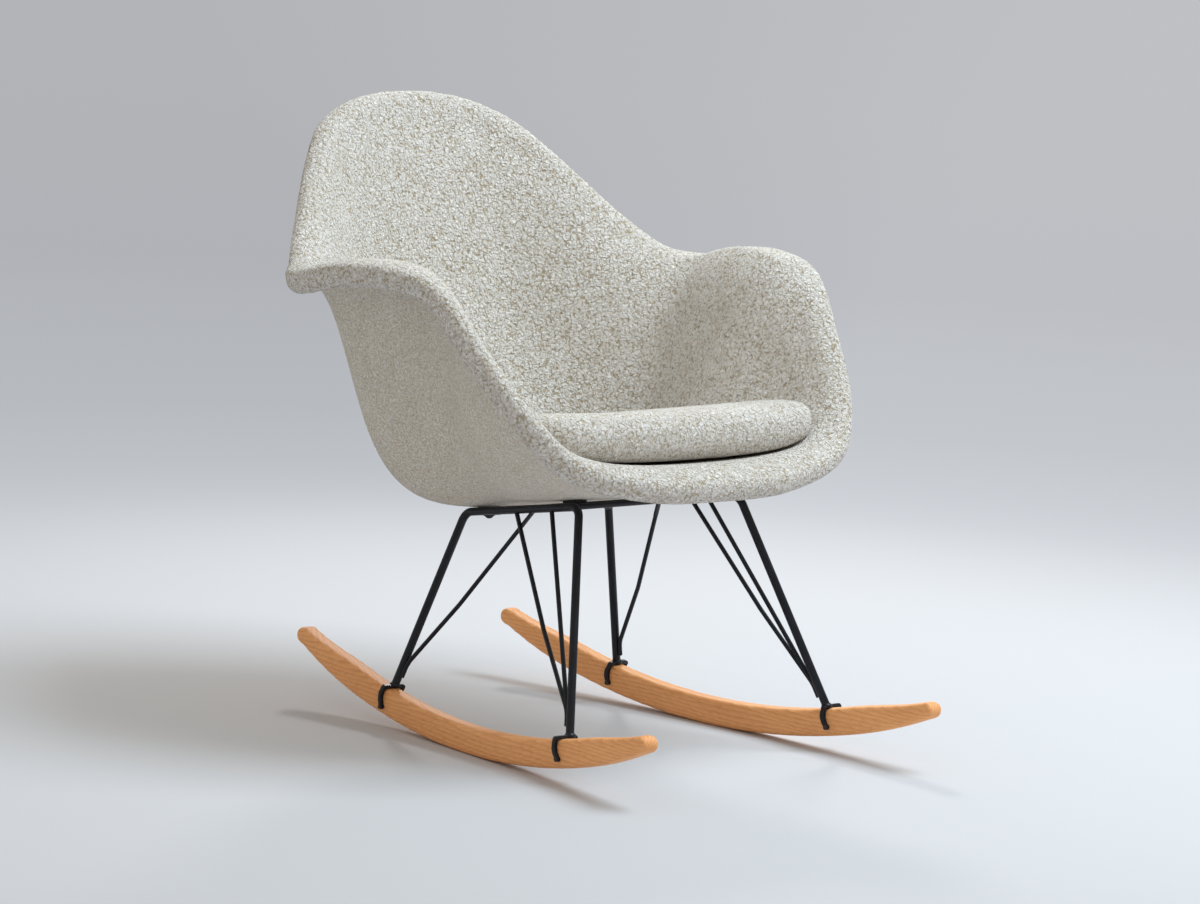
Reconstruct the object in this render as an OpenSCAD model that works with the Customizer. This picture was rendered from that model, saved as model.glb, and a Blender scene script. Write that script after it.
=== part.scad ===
// Upholstered rocking chair: a moulded bucket shell with a rolled edge, a loose
// seat cushion, a wire base and two bent wooden rockers.
// Millimetres. The floor is z = 0, the front is -Y, and x = 0 is the middle plane.

/* [Rockers] */
// Radius of the rocker's underside
rocker_radius = 931; // [700:1:1400]
// Height of a rocker, measured along the radius
rocker_height = 31.5; // [22:0.5:40]
// Width of a rocker
rocker_width = 22; // [16:0.5:32]
// Distance between the two rockers at their lowest point
rocker_spacing = 374.4; // [280:0.2:460]
// Turn of each rocker in towards the rear, degrees
rocker_toe = 5.25; // [0:0.25:8]
// Distance from a rocker's lowest point to the middle of its end, along the floor
rocker_reach = 328; // [260:1:400]
// Radius of a rocker's end, seen from the side
rocker_tip = 9; // [6:0.5:14]
// Rise of a rocker's end over the arc of its underside
rocker_end_rise = 4.5; // [0:0.5:12]
// Length over which a rocker gets thinner towards its end
rocker_taper = 118; // [60:1:180]

/* [Shell] */
// Height of the seat centre above the floor
seat_height = 270.6; // [230:0.2:330]
// Distance of the seat centre behind the rockers' lowest line
seat_setback = 57.3; // [20:0.1:90]
// Backward rake of the seat, degrees
seat_rake = 10.5; // [4:0.1:14]
// Width of the shell, middle to middle of the rolled edge
shell_width = 627; // [560:1:720]
// Reach of the back's rim behind the seat centre
back_reach = 332.2; // [270:0.2:380]
// Reach of the front lip's rim before the seat centre
lip_reach = 244.2; // [200:0.2:280]
// Rise of the back's rim above the seat centre
back_rise = 419.7; // [340:0.1:520]
// Rise of the arms' rim above the seat centre
arm_rise = 257; // [200:1:310]
// Rise of the front lip's rim above the seat centre
lip_rise = 44.8; // [30:0.2:60]
// Thickness of the moulded shell
shell_wall = 4.6; // [3:0.1:7]

/* [Upholstery] */
// Thickness of the padding and cloth inside the shell
pad_thickness = 8; // [4:0.5:14]
// Extra thickness of the padding under the seat cushion
seat_foam = 22; // [0:1:30]
// Thickness of the cloth and fleece outside the shell
cover_thickness = 3.2; // [2:0.1:6]
// Diameter of the rolled edge
roll_diameter = 22; // [18:0.5:30]
// Grip of the rolled edge beyond the shell's edge line
roll_depth = 3; // [1:0.5:5]
// Gap between upholstered pieces
soft_gap = 0.3; // [0.2:0.05:1]

/* [Seat cushion] */
// Thickness of the cushion at its sides
cushion_thickness = 36; // [30:1:60]
// Extra height of the cushion's crown
cushion_crown = 4; // [0:1:20]
// Height of the cushion's lower edge over the shell's seat plane, at the middle
cushion_edge = 48; // [30:1:55]
// Rise of the cushion's lower edge towards the arms
cushion_sweep = 30; // [0:1:60]
// Depth of the cushion's underside below its lower edge
cushion_belly = 12; // [0:1:12]
// Least gap between the cushion and the padding under it
cushion_gap = 0.5; // [0.3:0.05:2]

/* [Wire base] */
// Diameter of the side frames' rod
frame_rod = 9.5; // [7:0.25:14]
// Diameter of the braces' rod
brace_rod = 5.2; // [4:0.1:8]
// Diameter of the cross bars' rod
cross_rod = 7; // [5:0.25:10]
// Centre-line radius of the bends in the side frames
frame_bend = 15; // [10:0.5:30]
// Depth of the side frames' top bars below the seat centre line
frame_drop = 10; // [9:0.5:16]
// Spread of the top bars at their rear ends
frame_rear_width = 218.8; // [160:0.2:260]
// Spread of the top bars at their front ends
frame_front_width = 244; // [180:0.5:290]
// Reach of the top bars behind the seat centre
frame_rear_reach = 60.8; // [40:0.2:90]
// Reach of the top bars before the seat centre
frame_front_reach = 147.6; // [110:0.2:170]
// Reach of the front cross bar before the seat centre
front_bar_reach = 136; // [132:0.5:140]
// Reach of the rear cross bar behind the seat centre
rear_bar_reach = 23; // [0:0.5:30]
// Reach of the front outer braces' welds before the seat centre, left side
outer_brace_left_reach = 33; // [10:0.5:90]
// Reach of the front outer braces' welds before the seat centre, right side
outer_brace_right_reach = 71; // [10:0.5:90]
// Reach of the front inner braces' welds before the seat centre
inner_brace_reach = 98; // [60:0.5:120]
// Reach of the rear braces' ends before the seat centre, left side
rear_brace_left_reach = 60; // [0:0.5:90]
// Reach of the rear braces' ends before the seat centre, right side
rear_brace_right_reach = 27; // [0:0.5:90]
// Length of the flattened ends of the rear braces
brace_flat = 20; // [10:1:30]
// Bow of the bent braces away from the legs
brace_bow = 4.5; // [0:0.5:10]
// Centre-line radius of the bends in the braces
brace_bend = 30; // [12:1:60]
// Height along a leg at which a brace meets it
brace_join = 30; // [20:1:60]
// Height along a leg at which a brace ends
brace_end = 13; // [6:1:18]
// Turn of the front feet along the rockers from the lowest point, degrees
front_foot = 11.55; // [8:0.05:14]
// Turn of the rear feet along the rockers from the lowest point, degrees
rear_foot = 9.7; // [7:0.1:13]
// Distance of the front legs' feet from the rockers' middle, inwards
front_foot_inset = 7; // [0:0.5:8]
// Distance of the rear legs' feet from the rockers' middle, inwards
rear_foot_inset = 2; // [0:0.5:8]

/* [Saddles] */
// Thickness of the saddles' steel
saddle_wall = 4.5; // [3:0.25:7]
// Width of the saddles along the rocker
saddle_width = 6; // [5:0.25:12]
// Length of the saddles' prongs down the rocker's sides
saddle_prong = 24; // [14:0.5:28]
// Bow of the prongs towards the rear, halfway down
saddle_bow = 3; // [0:0.5:5]
// Reach of the prongs' tips towards the front
saddle_tip_reach = 2; // [0:0.5:5]
// Diameter of the saddle screws
saddle_screw = 3; // [2:0.25:4]
// Gap between a saddle and the rocker's sides
saddle_gap = 0.2; // [0.1:0.05:0.5]

/* [Shock mounts] */
// Diameter of the rubber mounts
mount_diameter = 27; // [20:0.5:36]
// Thickness of the rubber mounts
mount_thickness = 7; // [5:0.5:10]
// Spread of the rear mounts
mount_rear_width = 180; // [140:1:220]
// Spread of the front mounts
mount_front_width = 202; // [160:1:240]
// Distance of the rear mounts behind the seat centre
mount_rear_reach = 42; // [20:1:70]
// Distance of the front mounts before the seat centre
mount_front_reach = 117; // [90:1:125]
// Thickness of the mount tabs
tab_thickness = 3; // [2:0.25:5]
// Diameter of the mount screws
mount_screw = 5; // [4:0.5:8]
// Diameter of the washers
washer_diameter = 13; // [10:0.5:18]
// Thickness of the washers
washer_thickness = 1; // [0.8:0.1:2]

/* [Hidden] */
$fn = 48;

left = -1;
right = 1;

// Shell form. Each station of the rim has its place, the way the surface runs
// there, and four shape values, for half of the chair from the back to the lip.
// Place: share of the half width, share of the reach (back is +, lip is -),
// and shares of the rises of back, arm and lip.
PLACE = [
    [0, 1, 1, 0, 0],
    [0.235, 0.979, 0.984, 0, 0],
    [0.435, 0.916, 0.925, 0, 0],
    [0.586, 0.806, 0.6, 0.359, 0],
    [0.733, 0.667, 0.3, 0.64, 0],
    [0.877, 0.525, 0.03, 0.923, 0],
    [1, 0.378, 0, 0.939, 0],
    [0.991, 0.169, 0, 0.999, 0],
    [0.947, -0.073, 0, 1.015, 0],
    [0.904, -0.302, 0, 0.954, 0],
    [0.845, -0.524, 0, 0.714, 0],
    [0.767, -0.736, 0, 0.388, 0.5],
    [0.632, -0.891, 0, 0.124, 0.9],
    [0.329, -0.98, 0, 0, 1.09],
    [0, -1, 0, 0, 0.996]];
// Way of the surface at the rim
WAY = [
    [0, 0.39, 0.92], [0.12, 0.39, 0.91], [0.35, 0.37, 0.86], [0.6, 0.34, 0.7],
    [0.86, 0.28, 0.32], [0.94, 0.14, -0.28], [0.8, 0.05, -0.6],
    [0.74, -0.05, -0.67], [0.74, -0.15, -0.65], [0.72, -0.5, -0.48],
    [0.5, -0.82, -0.24], [0.32, -0.89, -0.32], [0.22, -0.8, -0.56],
    [0.08, -0.55, -0.83], [0, -0.49, -0.87]];
// Straight lead at the rim as a share of the half width, spread of the wall's foot, height share
// of the wall's foot, spread of the flat seat
FORM = [
    [0.389, 0.94, 0.167, 0.58], [0.363, 0.95, 0.133, 0.58], [0.317, 0.97, 0.084, 0.6],
    [0.264, 0.98, 0.019, 0.62], [0.235, 0.99, -0.049, 0.64],
    [0.269, 0.94, -0.101, 0.66], [0.333, 0.91, -0.11, 0.68], [0.35, 0.92, -0.07, 0.68],
    [0.322, 0.95, -0.022, 0.68], [0.258, 0.97, 0.01, 0.68], [0.197, 0.98, 0.029, 0.68],
    [0.167, 0.97, 0.037, 0.68], [0.147, 0.97, 0.037, 0.68], [0.13, 0.97, 0.039, 0.68],
    [0.12, 0.97, 0.039, 0.68]];
// Share of each profile over which the seat's extra padding runs out
FOAM = [0.36, 0.36, 0.36, 0.36, 0.36, 0.36, 0.36, 0.36, 0.36, 0.4, 0.5, 0.62, 0.74,
    0.8, 0.8];
// Share of each profile that the cushion covers
SEAT = [0.27, 0.275, 0.29, 0.33, 0.37, 0.39, 0.39, 0.395, 0.41, 0.46, 0.57, 0.74,
    0.82, 0.715, 0.665];
HALF = len(PLACE) - 1;
SPANS = 2 * HALF;
AROUND = 72;
ROWS = [0.13, 0.27, 0.41, 0.54, 0.67, 0.8, 0.91];

seat_centre = [0, seat_setback, seat_height];
rake_slope = tan(seat_rake);
roll_radius = roll_diameter / 2;
core_out = shell_wall / 2;
pad_out = core_out + pad_thickness;
cover_out = core_out + cover_thickness;
rocker_inner = rocker_radius - rocker_height;
bend_step = 9;

function unit(v) = v / norm(v);
function mix(a, b, t) = a + (b - a) * t;
function seat_plane(y) = seat_height - rake_slope * (y - seat_setback);
// Place on the seat's raked plane: across, behind the seat centre, above it
function deck(x, s, h) = [x, seat_setback + s * cos(seat_rake) + h * sin(seat_rake),
    seat_height - s * sin(seat_rake) + h * cos(seat_rake)];

// Four control points of each station's profile, which starts at the seat centre
function rim_point(p) = [p[0] * shell_width / 2,
    seat_setback + p[1] * (p[1] > 0 ? back_reach : lip_reach),
    seat_height + p[2] * back_rise + p[3] * arm_rise + p[4] * lip_rise];
function controls(i) = let(
    c = rim_point(PLACE[i]),
    way = unit(WAY[i]),
    f = FORM[i],
    q3 = c - f[0] * shell_width / 2 * way,
    q1x = seat_centre[0] + f[3] * (c[0] - seat_centre[0]),
    q1y = seat_centre[1] + f[3] * (c[1] - seat_centre[1]),
    q2x = seat_centre[0] + f[1] * (q3[0] - seat_centre[0]),
    q2y = seat_centre[1] + f[1] * (q3[1] - seat_centre[1]),
    foot = seat_plane(q2y))
    [[q1x, q1y, seat_plane(q1y)], [q2x, q2y, foot + f[2] * (c[2] - foot)], q3, c];
HALF_CONTROLS = [for (i = [0:HALF]) controls(i)];
function flip(p) = [-p[0], p[1], p[2]];
function station(i) = let(k = (i % SPANS + SPANS) % SPANS)
    k <= HALF ? HALF_CONTROLS[k] : [for (p = HALF_CONTROLS[SPANS - k]) flip(p)];
function curve(a, b, c, d, t) =
    0.5 * (2 * b + (c - a) * t + (2 * a - 5 * b + 4 * c - d) * t * t
    + (3 * b - a - 3 * c + d) * t * t * t);
function profile(u) = let(k = floor(u), t = u - k,
    a = station(k - 1), b = station(k), c = station(k + 1), d = station(k + 2))
    [for (j = [0:3]) curve(a[j], b[j], c[j], d[j], t)];
function along(q, r) = let(s = 1 - r)
    s * s * s * s * seat_centre + 4 * r * s * s * s * q[0] + 6 * r * r * s * s * q[1]
    + 4 * r * r * r * s * q[2] + r * r * r * r * q[3];
function along_rate(q, r) = let(s = 1 - r)
    4 * (s * s * s * (q[0] - seat_centre) + 3 * r * s * s * (q[1] - q[0])
    + 3 * r * r * s * (q[2] - q[1]) + r * r * r * (q[3] - q[2]));
// Unit vector square to the surface, on the sitter's side
function square(u, r) = let(e = 0.01)
    unit(cross(along(profile(u + e), r) - along(profile(u - e), r),
        along_rate(profile(u), r)));
// Share of a profile that ends a given distance short of the rim
function short_of(q, gap, r = 0.93, n = 5) = n == 0 ? r
    : short_of(q, gap, 1 - (1 - r) * gap / norm(along(q, r) - q[3]), n - 1);
function sheet(u, r, h) = along(profile(u), r) + h * square(u, r);

// Value of a half table at any place round the rim
function smooth_pick(values, u) = let(k = floor(u), t = u - k,
    pick = [for (i = [-1:2]) let(j = (k + i + SPANS) % SPANS) values[j <= HALF ? j : SPANS - j]])
    curve(pick[0], pick[1], pick[2], pick[3], t);
function foam(u, r) = let(t = r / smooth_pick(FOAM, u))
    seat_foam * pow(max(0, 1 - t * t), 1.5);

GRID = [for (i = [0:AROUND - 1]) i * SPANS / AROUND];
CENTRE_WAY = [0, sin(seat_rake), cos(seat_rake)];

// How far from the rim a skin's corner stays, so that its end clears the roll
roll_clear = roll_radius + 6 * soft_gap;
function rim_gap(h) = sqrt(max(soft_gap * soft_gap, roll_clear * roll_clear - h * h));
// The rim at each step: the edge point, the way over it, the way square to it and
// the share of the profile at which the shell enters the roll
function edge_at(u) = let(
    q = profile(u),
    r = short_of(q, rim_gap(core_out)),
    way = unit(q[3] - along(q, r)),
    e = 0.01,
    run = profile(u + e)[3] - profile(u - e)[3])
    [q[3], way, unit(cross(run, way)), r];
RIM = [for (u = GRID) edge_at(u)];

// Two nets of points around the seat centre, joined at their outer edge
module closed_skin(low, high, low_centre, high_centre) {
    n = len(low);
    m = len(low[0]);
    side = n * m;
    points = concat([for (a = low) for (p = a) p], [for (a = high) for (p = a) p],
        [low_centre, high_centre]);
    faces = concat(
        [for (i = [0:n - 1]) let(k = (i + n - 1) % n) [2 * side, i * m, k * m]],
        [for (i = [0:n - 1]) let(k = (i + n - 1) % n) [2 * side + 1, side + k * m, side + i * m]],
        [for (i = [0:n - 1]) for (j = [0:m - 2]) let(k = (i + n - 1) % n)
            [i * m + j, i * m + j + 1, k * m + j + 1]],
        [for (i = [0:n - 1]) for (j = [0:m - 2]) let(k = (i + n - 1) % n)
            [i * m + j, k * m + j + 1, k * m + j]],
        [for (i = [0:n - 1]) for (j = [0:m - 2]) let(k = (i + n - 1) % n)
            [side + i * m + j, side + k * m + j + 1, side + i * m + j + 1]],
        [for (i = [0:n - 1]) for (j = [0:m - 2]) let(k = (i + n - 1) % n)
            [side + i * m + j, side + k * m + j, side + k * m + j + 1]],
        [for (i = [0:n - 1]) let(k = (i + n - 1) % n, j = m - 1)
            [i * m + j, side + i * m + j, side + k * m + j]],
        [for (i = [0:n - 1]) let(k = (i + n - 1) % n, j = m - 1)
            [i * m + j, side + k * m + j, k * m + j]]);
    polyhedron(points, faces);
}

// The shell where it enters the roll, and its edge inside the roll's slot
function mouth_point(i, h) = along(profile(GRID[i]), RIM[i][3]) + h * RIM[i][2];
function tip_point(i, h) = RIM[i][0] + roll_depth * RIM[i][1] + h * RIM[i][2];
function core_net(h) = [for (i = [0:AROUND - 1]) concat([for (r = ROWS) sheet(GRID[i], r, h)],
    [mouth_point(i, h), tip_point(i, h)])];

module shell_core() {
    low = core_net(-core_out);
    high = core_net(core_out);
    color("dimgray")
        closed_skin(low, high, seat_centre - core_out * CENTRE_WAY,
            seat_centre + core_out * CENTRE_WAY);
}

// Rows of the padding's top: three under the cushion, the rest up to the rim
UNDER = [0.55, 0.9, 1];
BEYOND = [0.22, 0.44, 0.65, 0.84];
function pad_rows(u) = let(c = smooth_pick(SEAT, u))
    concat([for (t = UNDER) c * t], [for (t = BEYOND) mix(c, 1, t)]);

// The padded inside, thicker under the cushion
module inner_pad() {
    low = [for (i = [0:AROUND - 1]) concat([for (r = ROWS) sheet(GRID[i], r, core_out)],
        [mouth_point(i, core_out)])];
    high = [for (u = GRID) concat([for (r = pad_rows(u)) sheet(u, r, pad_out + foam(u, r))],
        [sheet(u, short_of(profile(u), rim_gap(pad_out)), pad_out)])];
    color("beige")
        closed_skin(low, high, seat_centre + core_out * CENTRE_WAY,
            seat_centre + (pad_out + seat_foam) * CENTRE_WAY);
}

// The cloth outside the shell
module outer_cover() {
    low = [for (u = GRID) concat([for (r = ROWS) sheet(u, r, -cover_out)],
        [sheet(u, short_of(profile(u), rim_gap(cover_out)), -cover_out)])];
    high = [for (i = [0:AROUND - 1]) concat([for (r = ROWS) sheet(GRID[i], r, -core_out)],
        [mouth_point(i, -core_out)])];
    color("tan")
        closed_skin(low, high, seat_centre - cover_out * CENTRE_WAY,
            seat_centre - core_out * CENTRE_WAY);
}

// The rolled edge: a soft bead around the rim, slotted for the shell's edge
module rim_roll() {
    slot = core_out + 2 * soft_gap;
    deep = roll_depth + soft_gap;
    start = asin(slot / roll_radius);
    sides = 11;
    outline = concat(
        [for (k = [0:sides]) let(a = 180 + start + k * (360 - 2 * start) / sides)
            roll_radius * [cos(a), sin(a)]],
        [[deep, slot], [deep, -slot]]);
    m = len(outline);
    points = [for (e = RIM) for (p = outline) e[0] + p[0] * e[1] + p[1] * e[2]];
    faces = [for (i = [0:AROUND - 1]) for (j = [0:m - 1])
        let(k = (i + AROUND - 1) % AROUND, l = (j + 1) % m,
            p = [i * m + j, i * m + l, k * m + l, k * m + j])
        each j > sides ? [[p[0], p[1], p[3]], [p[1], p[2], p[3]]]
            : [[p[0], p[1], p[2]], [p[0], p[2], p[3]]]];
    color("wheat")
        polyhedron(points, faces);
}

// The cushion's section from the middle of its underside to the middle of its top:
// share of the covered seat, and share of the thickness
EDGE = [[0.55, 0], [0.9, 0], [1, 0.3], [1.01, 0.52], [0.985, 0.78], [0.93, 0.94],
    [0.82, 1], [0.5, 1]];
function over_seat(p) = (p - seat_centre) * CENTRE_WAY;
// A point of the cushion: over the padding by its gap at least, and as high over the
// seat's plane as the section asks
function cushion_point(u, e) = let(
    r = smooth_pick(SEAT, u) * e[0],
    p = sheet(u, r, pad_out + foam(u, r)),
    side = abs(p[0]) * 2 / shell_width,
    low = cushion_edge + cushion_sweep * side * side * side
        - cushion_belly * (1 - e[0] * e[0]),
    up = low + e[1] * (cushion_thickness + cushion_crown * (1 - e[0] * e[0]) * e[1]
        + cushion_belly * (1 - e[0] * e[0])))
    p + max(cushion_gap + 0.5 * (e[1] > 0 ? 1 : 0), up - over_seat(p)) * CENTRE_WAY;

// The loose seat cushion: boxed sides, drawn-in edges, a crowned top and an
// underside that sinks into the seat's hollow
module seat_cushion() {
    m = len(EDGE);
    points = concat([for (u = GRID) for (e = EDGE) cushion_point(u, e)],
        [for (h = [max(pad_out + seat_foam + cushion_gap, cushion_edge - cushion_belly),
            cushion_edge + cushion_thickness + cushion_crown]) seat_centre + h * CENTRE_WAY]);
    low_tip = AROUND * m;
    faces = concat(
        [for (i = [0:AROUND - 1]) let(k = (i + AROUND - 1) % AROUND) [low_tip, i * m, k * m]],
        [for (i = [0:AROUND - 1]) let(k = (i + AROUND - 1) % AROUND)
            [low_tip + 1, k * m + m - 1, i * m + m - 1]],
        [for (i = [0:AROUND - 1]) for (j = [0:m - 2]) let(k = (i + AROUND - 1) % AROUND)
            [i * m + j, i * m + j + 1, k * m + j + 1]],
        [for (i = [0:AROUND - 1]) for (j = [0:m - 2]) let(k = (i + AROUND - 1) % AROUND)
            [i * m + j, k * m + j + 1, k * m + j]]);
    color("ivory")
        polyhedron(points, faces);
}

// Place on a rocker: turn from the lowest point (rear is +) and distance from the
// arc's centre
function on_rocker(side, turn, radius) = let(run = radius * sin(turn))
    [side * (rocker_spacing / 2 - run * sin(rocker_toe)), run * cos(rocker_toe),
    rocker_radius - radius * cos(turn)];

// Moves its children to the top of a rocker: x across, y along, z towards the
// centre of the arc
module at_foot(side, turn) {
    translate([side * rocker_spacing / 2, 0, rocker_radius])
        rotate([0, 0, side * rocker_toe])
            rotate([turn, 0, 0])
                translate([0, 0, -rocker_inner])
                    children();
}

// A round rod from a to b
module rod(a, b, d) {
    way = b - a;
    translate(a)
        rotate([0, acos(way[2] / norm(way)), atan2(way[1], way[0])])
            cylinder(d = d, h = norm(way));
}

// Points of a rounded bend at corner b, between the runs from a and to c
function bend_points(a, b, c, r) = let(
    in = unit(b - a),
    out = unit(c - b),
    angle = acos(in * out),
    inward = unit(out - (out * in) * in),
    middle = b - in * r * tan(angle / 2) + inward * r,
    steps = ceil(angle / bend_step))
    [for (k = [0:steps]) let(t = angle * k / steps)
        middle + r * (in * sin(t) - inward * cos(t))];
function bent_line(path, r) = concat([path[0]],
    [for (i = [1:len(path) - 2]) each bend_points(path[i - 1], path[i], path[i + 1], r)],
    [path[len(path) - 1]]);
function line_way(line, i) = unit(line[min(i + 1, len(line) - 1)] - line[max(i - 1, 0)]);
function carried(line, i, side) = let(w = line_way(line, i)) unit(side - (side * w) * w);
function sides_along(line, i, side) = i == len(line) ? []
    : let(s = carried(line, i, side)) concat([s], sides_along(line, i + 1, s));

// A rod bent at each inner point of its path, with its first end flattened over
// a length
module bent_rod(path, d, r, count, flat = 0) {
    bent = bent_line(path, r);
    way = unit(bent[1] - bent[0]);
    line = flat > 0 ? concat([bent[0], bent[0] + flat * way, bent[0] + (flat + d) * way],
        [for (i = [1:len(bent) - 1]) bent[i]]) : bent;
    n = len(line);
    across = sides_along(line, 0, [1, 0, 0]);
    points = [for (i = [0:n - 1]) let(x = across[i], y = cross(line_way(line, i), x))
        for (k = [0:count - 1]) let(t = 360 * k / count)
            line[i] + d * (flat > 0 && i < 2 ? 0.75 * x * cos(t) + 0.25 * y * sin(t)
                : 0.5 * (x * cos(t) + y * sin(t)))];
    polyhedron(points, concat(
        [[for (k = [0:count - 1]) k]],
        [[for (k = [count - 1:-1:0]) (n - 1) * count + k]],
        [for (i = [0:n - 2]) for (k = [0:count - 1]) let(l = (k + 1) % count)
            [i * count + k, (i + 1) * count + l, i * count + l]],
        [for (i = [0:n - 2]) for (k = [0:count - 1]) let(l = (k + 1) % count)
            [i * count + k, (i + 1) * count + k, (i + 1) * count + l]]));
}

foot_rise = rocker_inner - saddle_wall / 2;
function rear_foot_point(side) = on_rocker(side, rear_foot, foot_rise)
    - [side * rear_foot_inset, 0, 0];
function front_foot_point(side) = on_rocker(side, -front_foot, foot_rise)
    - [side * front_foot_inset, 0, 0];
function bar_rear(side) = deck(side * frame_rear_width / 2, frame_rear_reach, -frame_drop);
function bar_front(side) = deck(side * frame_front_width / 2, -frame_front_reach, -frame_drop);
function bar_point(side, s) = mix(bar_rear(side), bar_front(side),
    (frame_rear_reach - s) / (frame_rear_reach + frame_front_reach));

module side_frame(side) {
    color("black")
        bent_rod([rear_foot_point(side), bar_rear(side), bar_front(side),
            front_foot_point(side)], frame_rod, frame_bend, 16);
}

module cross_bar(s) {
    color("black")
        rod(bar_point(left, s), bar_point(right, s), cross_rod);
}

// Place beside a leg, a given distance up from its foot, on the side towards
// another point
function beside(foot, top, up, to) = let(
    way = unit(top - foot),
    p = foot + up * way,
    off = (to - p) - ((to - p) * way) * way)
    p + unit(off) * (frame_rod + brace_rod) / 2 * 0.9;

// A bent brace: from its weld on a top bar to the leg, then along the leg
function brace_path(foot, corner, top, push) = let(
    join = beside(foot, corner, brace_join, top),
    end = beside(foot, corner, brace_end, top),
    way = unit(corner - foot),
    away = unit((top - foot) - ((top - foot) * way) * way))
    concat([top], push > 0 ? [mix(join, top, 0.4) + push * away] : [], [join, end]);

module rear_brace(side, reach) {
    top = bar_point(side, -reach) - [side * (frame_rod / 2), 0, frame_rod / 4];
    path = brace_path(rear_foot_point(side), bar_rear(side), top, brace_bow);
    color("black")
        bent_rod(path, brace_rod, brace_bend, 10, brace_flat);
}

module front_brace(side, reach, bow) {
    color("black")
        bent_rod(brace_path(front_foot_point(side), bar_front(side),
            bar_point(side, -reach), bow), brace_rod, brace_bend, 10);
}

// The shell's place over a plan point, found in a few steps
function seek(x, y, u, r, n = 6) = n == 0 ? [u, r] : let(
    q = profile(u),
    e = 0.01,
    p = along(q, r),
    pu = (along(profile(u + e), r) - p) / e,
    pr = along_rate(q, r),
    det = pu[0] * pr[1] - pu[1] * pr[0],
    dx = x - p[0],
    dy = y - p[1])
    seek(x, y, u + (dx * pr[1] - dy * pr[0]) / det,
        r + (pu[0] * dy - pu[1] * dx) / det, n - 1);
REAR_MOUNT = let(p = deck(mount_rear_width / 2, mount_rear_reach, 0)) seek(p[0], p[1], 5.6, 0.15);
FRONT_MOUNT = let(p = deck(mount_front_width / 2, -mount_front_reach, 0))
    seek(p[0], p[1], HALF - 1.7, 0.25);
mount_top = cover_out + soft_gap / 2;
mount_low = mount_top + mount_thickness;
tab_low = mount_low + tab_thickness;

// Moves its children to a mount: z square to the shell, x out towards the bar
function mount_axes(m) = let(
    n = square(m[0], m[1]),
    across = unit(cross([0, 1, 0], n)))
    [across, cross(n, across), n, sheet(m[0], m[1], 0)];
module at_mount(side, m) {
    a = mount_axes(m);
    mirror([side == left ? 1 : 0, 0, 0])
        multmatrix([
            [a[0][0], a[1][0], a[2][0], a[3][0]],
            [a[0][1], a[1][1], a[2][1], a[3][1]],
            [a[0][2], a[1][2], a[2][2], a[3][2]],
            [0, 0, 0, 1]])
            children();
}

module shock_mount(side, m) {
    color("#202020")
        at_mount(side, m)
            translate([0, 0, -mount_low])
                difference() {
                    cylinder(d = mount_diameter, h = mount_thickness);
                    translate([0, 0, -1])
                        cylinder(d = mount_screw + 0.4, h = mount_thickness - 0.5);
                }
}

// A round-ended tab from the mount to the side frame's top bar
module mount_tab(side, m, reach) {
    a = mount_axes(m);
    to_bar = (bar_point(right, reach) - a[3]) * a[0];
    color("black")
        at_mount(side, m)
            translate([0, 0, -tab_low])
                difference() {
                    linear_extrude(tab_thickness)
                        union() {
                            circle(d = mount_diameter - 1);
                            translate([0, -mount_diameter * 0.3])
                                square([to_bar - frame_rod / 4, mount_diameter * 0.6]);
                        }
                    translate([0, 0, -1])
                        cylinder(d = mount_screw + 0.6, h = tab_thickness + 2);
                }
}

module mount_washers() {
    color("silver")
        for (side = [left, right], m = [REAR_MOUNT, FRONT_MOUNT])
            at_mount(side, m)
                translate([0, 0, -tab_low - washer_thickness])
                    difference() {
                        cylinder(d = washer_diameter, h = washer_thickness);
                        translate([0, 0, -1])
                            cylinder(d = mount_screw + 0.6, h = washer_thickness + 2);
                    }
}

module mount_screws() {
    color("gray")
        for (side = [left, right], m = [REAR_MOUNT, FRONT_MOUNT])
            at_mount(side, m)
                translate([0, 0, -tab_low - washer_thickness]) {
                    cylinder(d = mount_screw, h = washer_thickness + tab_thickness
                        + mount_thickness - 2.5);
                    difference() {
                        intersection() {
                            translate([0, 0, mount_screw * 0.55])
                                sphere(r = mount_screw * 1.15);
                            translate([0, 0, -mount_screw * 0.6])
                                cylinder(d = mount_screw * 2, h = mount_screw * 0.6);
                        }
                        translate([0, 0, -mount_screw])
                            cylinder(d = mount_screw * 0.7, h = mount_screw * 0.75, $fn = 6);
                    }
                }
}

// A forked foot that straddles the rocker and is screwed to its sides
module saddle(side, turn) {
    inner = rocker_width / 2 + saddle_gap;
    outer = inner + saddle_wall;
    round = saddle_wall;
    color("black")
        at_foot(side, turn)
            difference() {
                intersection() {
                    rotate([90, 0, 0])
                        linear_extrude(saddle_width + 2 * (saddle_bow + saddle_tip_reach), center = true)
                            difference() {
                                union() {
                                    translate([-outer + round, -saddle_prong])
                                        square([2 * (outer - round), saddle_prong + saddle_wall]);
                                    translate([-outer, -saddle_prong])
                                        square([2 * outer, saddle_prong + saddle_wall - round]);
                                    for (s = [left, right])
                                        translate([s * (outer - round), saddle_wall - round])
                                            circle(r = round);
                                }
                                translate([-inner, -saddle_prong - 1])
                                    square([2 * inner, saddle_prong + 1 + saddle_gap / 4]);
                            }
                    rotate([90, 0, 90])
                        linear_extrude(2 * outer + 2, center = true)
                            saddle_side();
                }
                saddle_screw_bores(saddle_screw + 0.4);
            }
}

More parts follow.
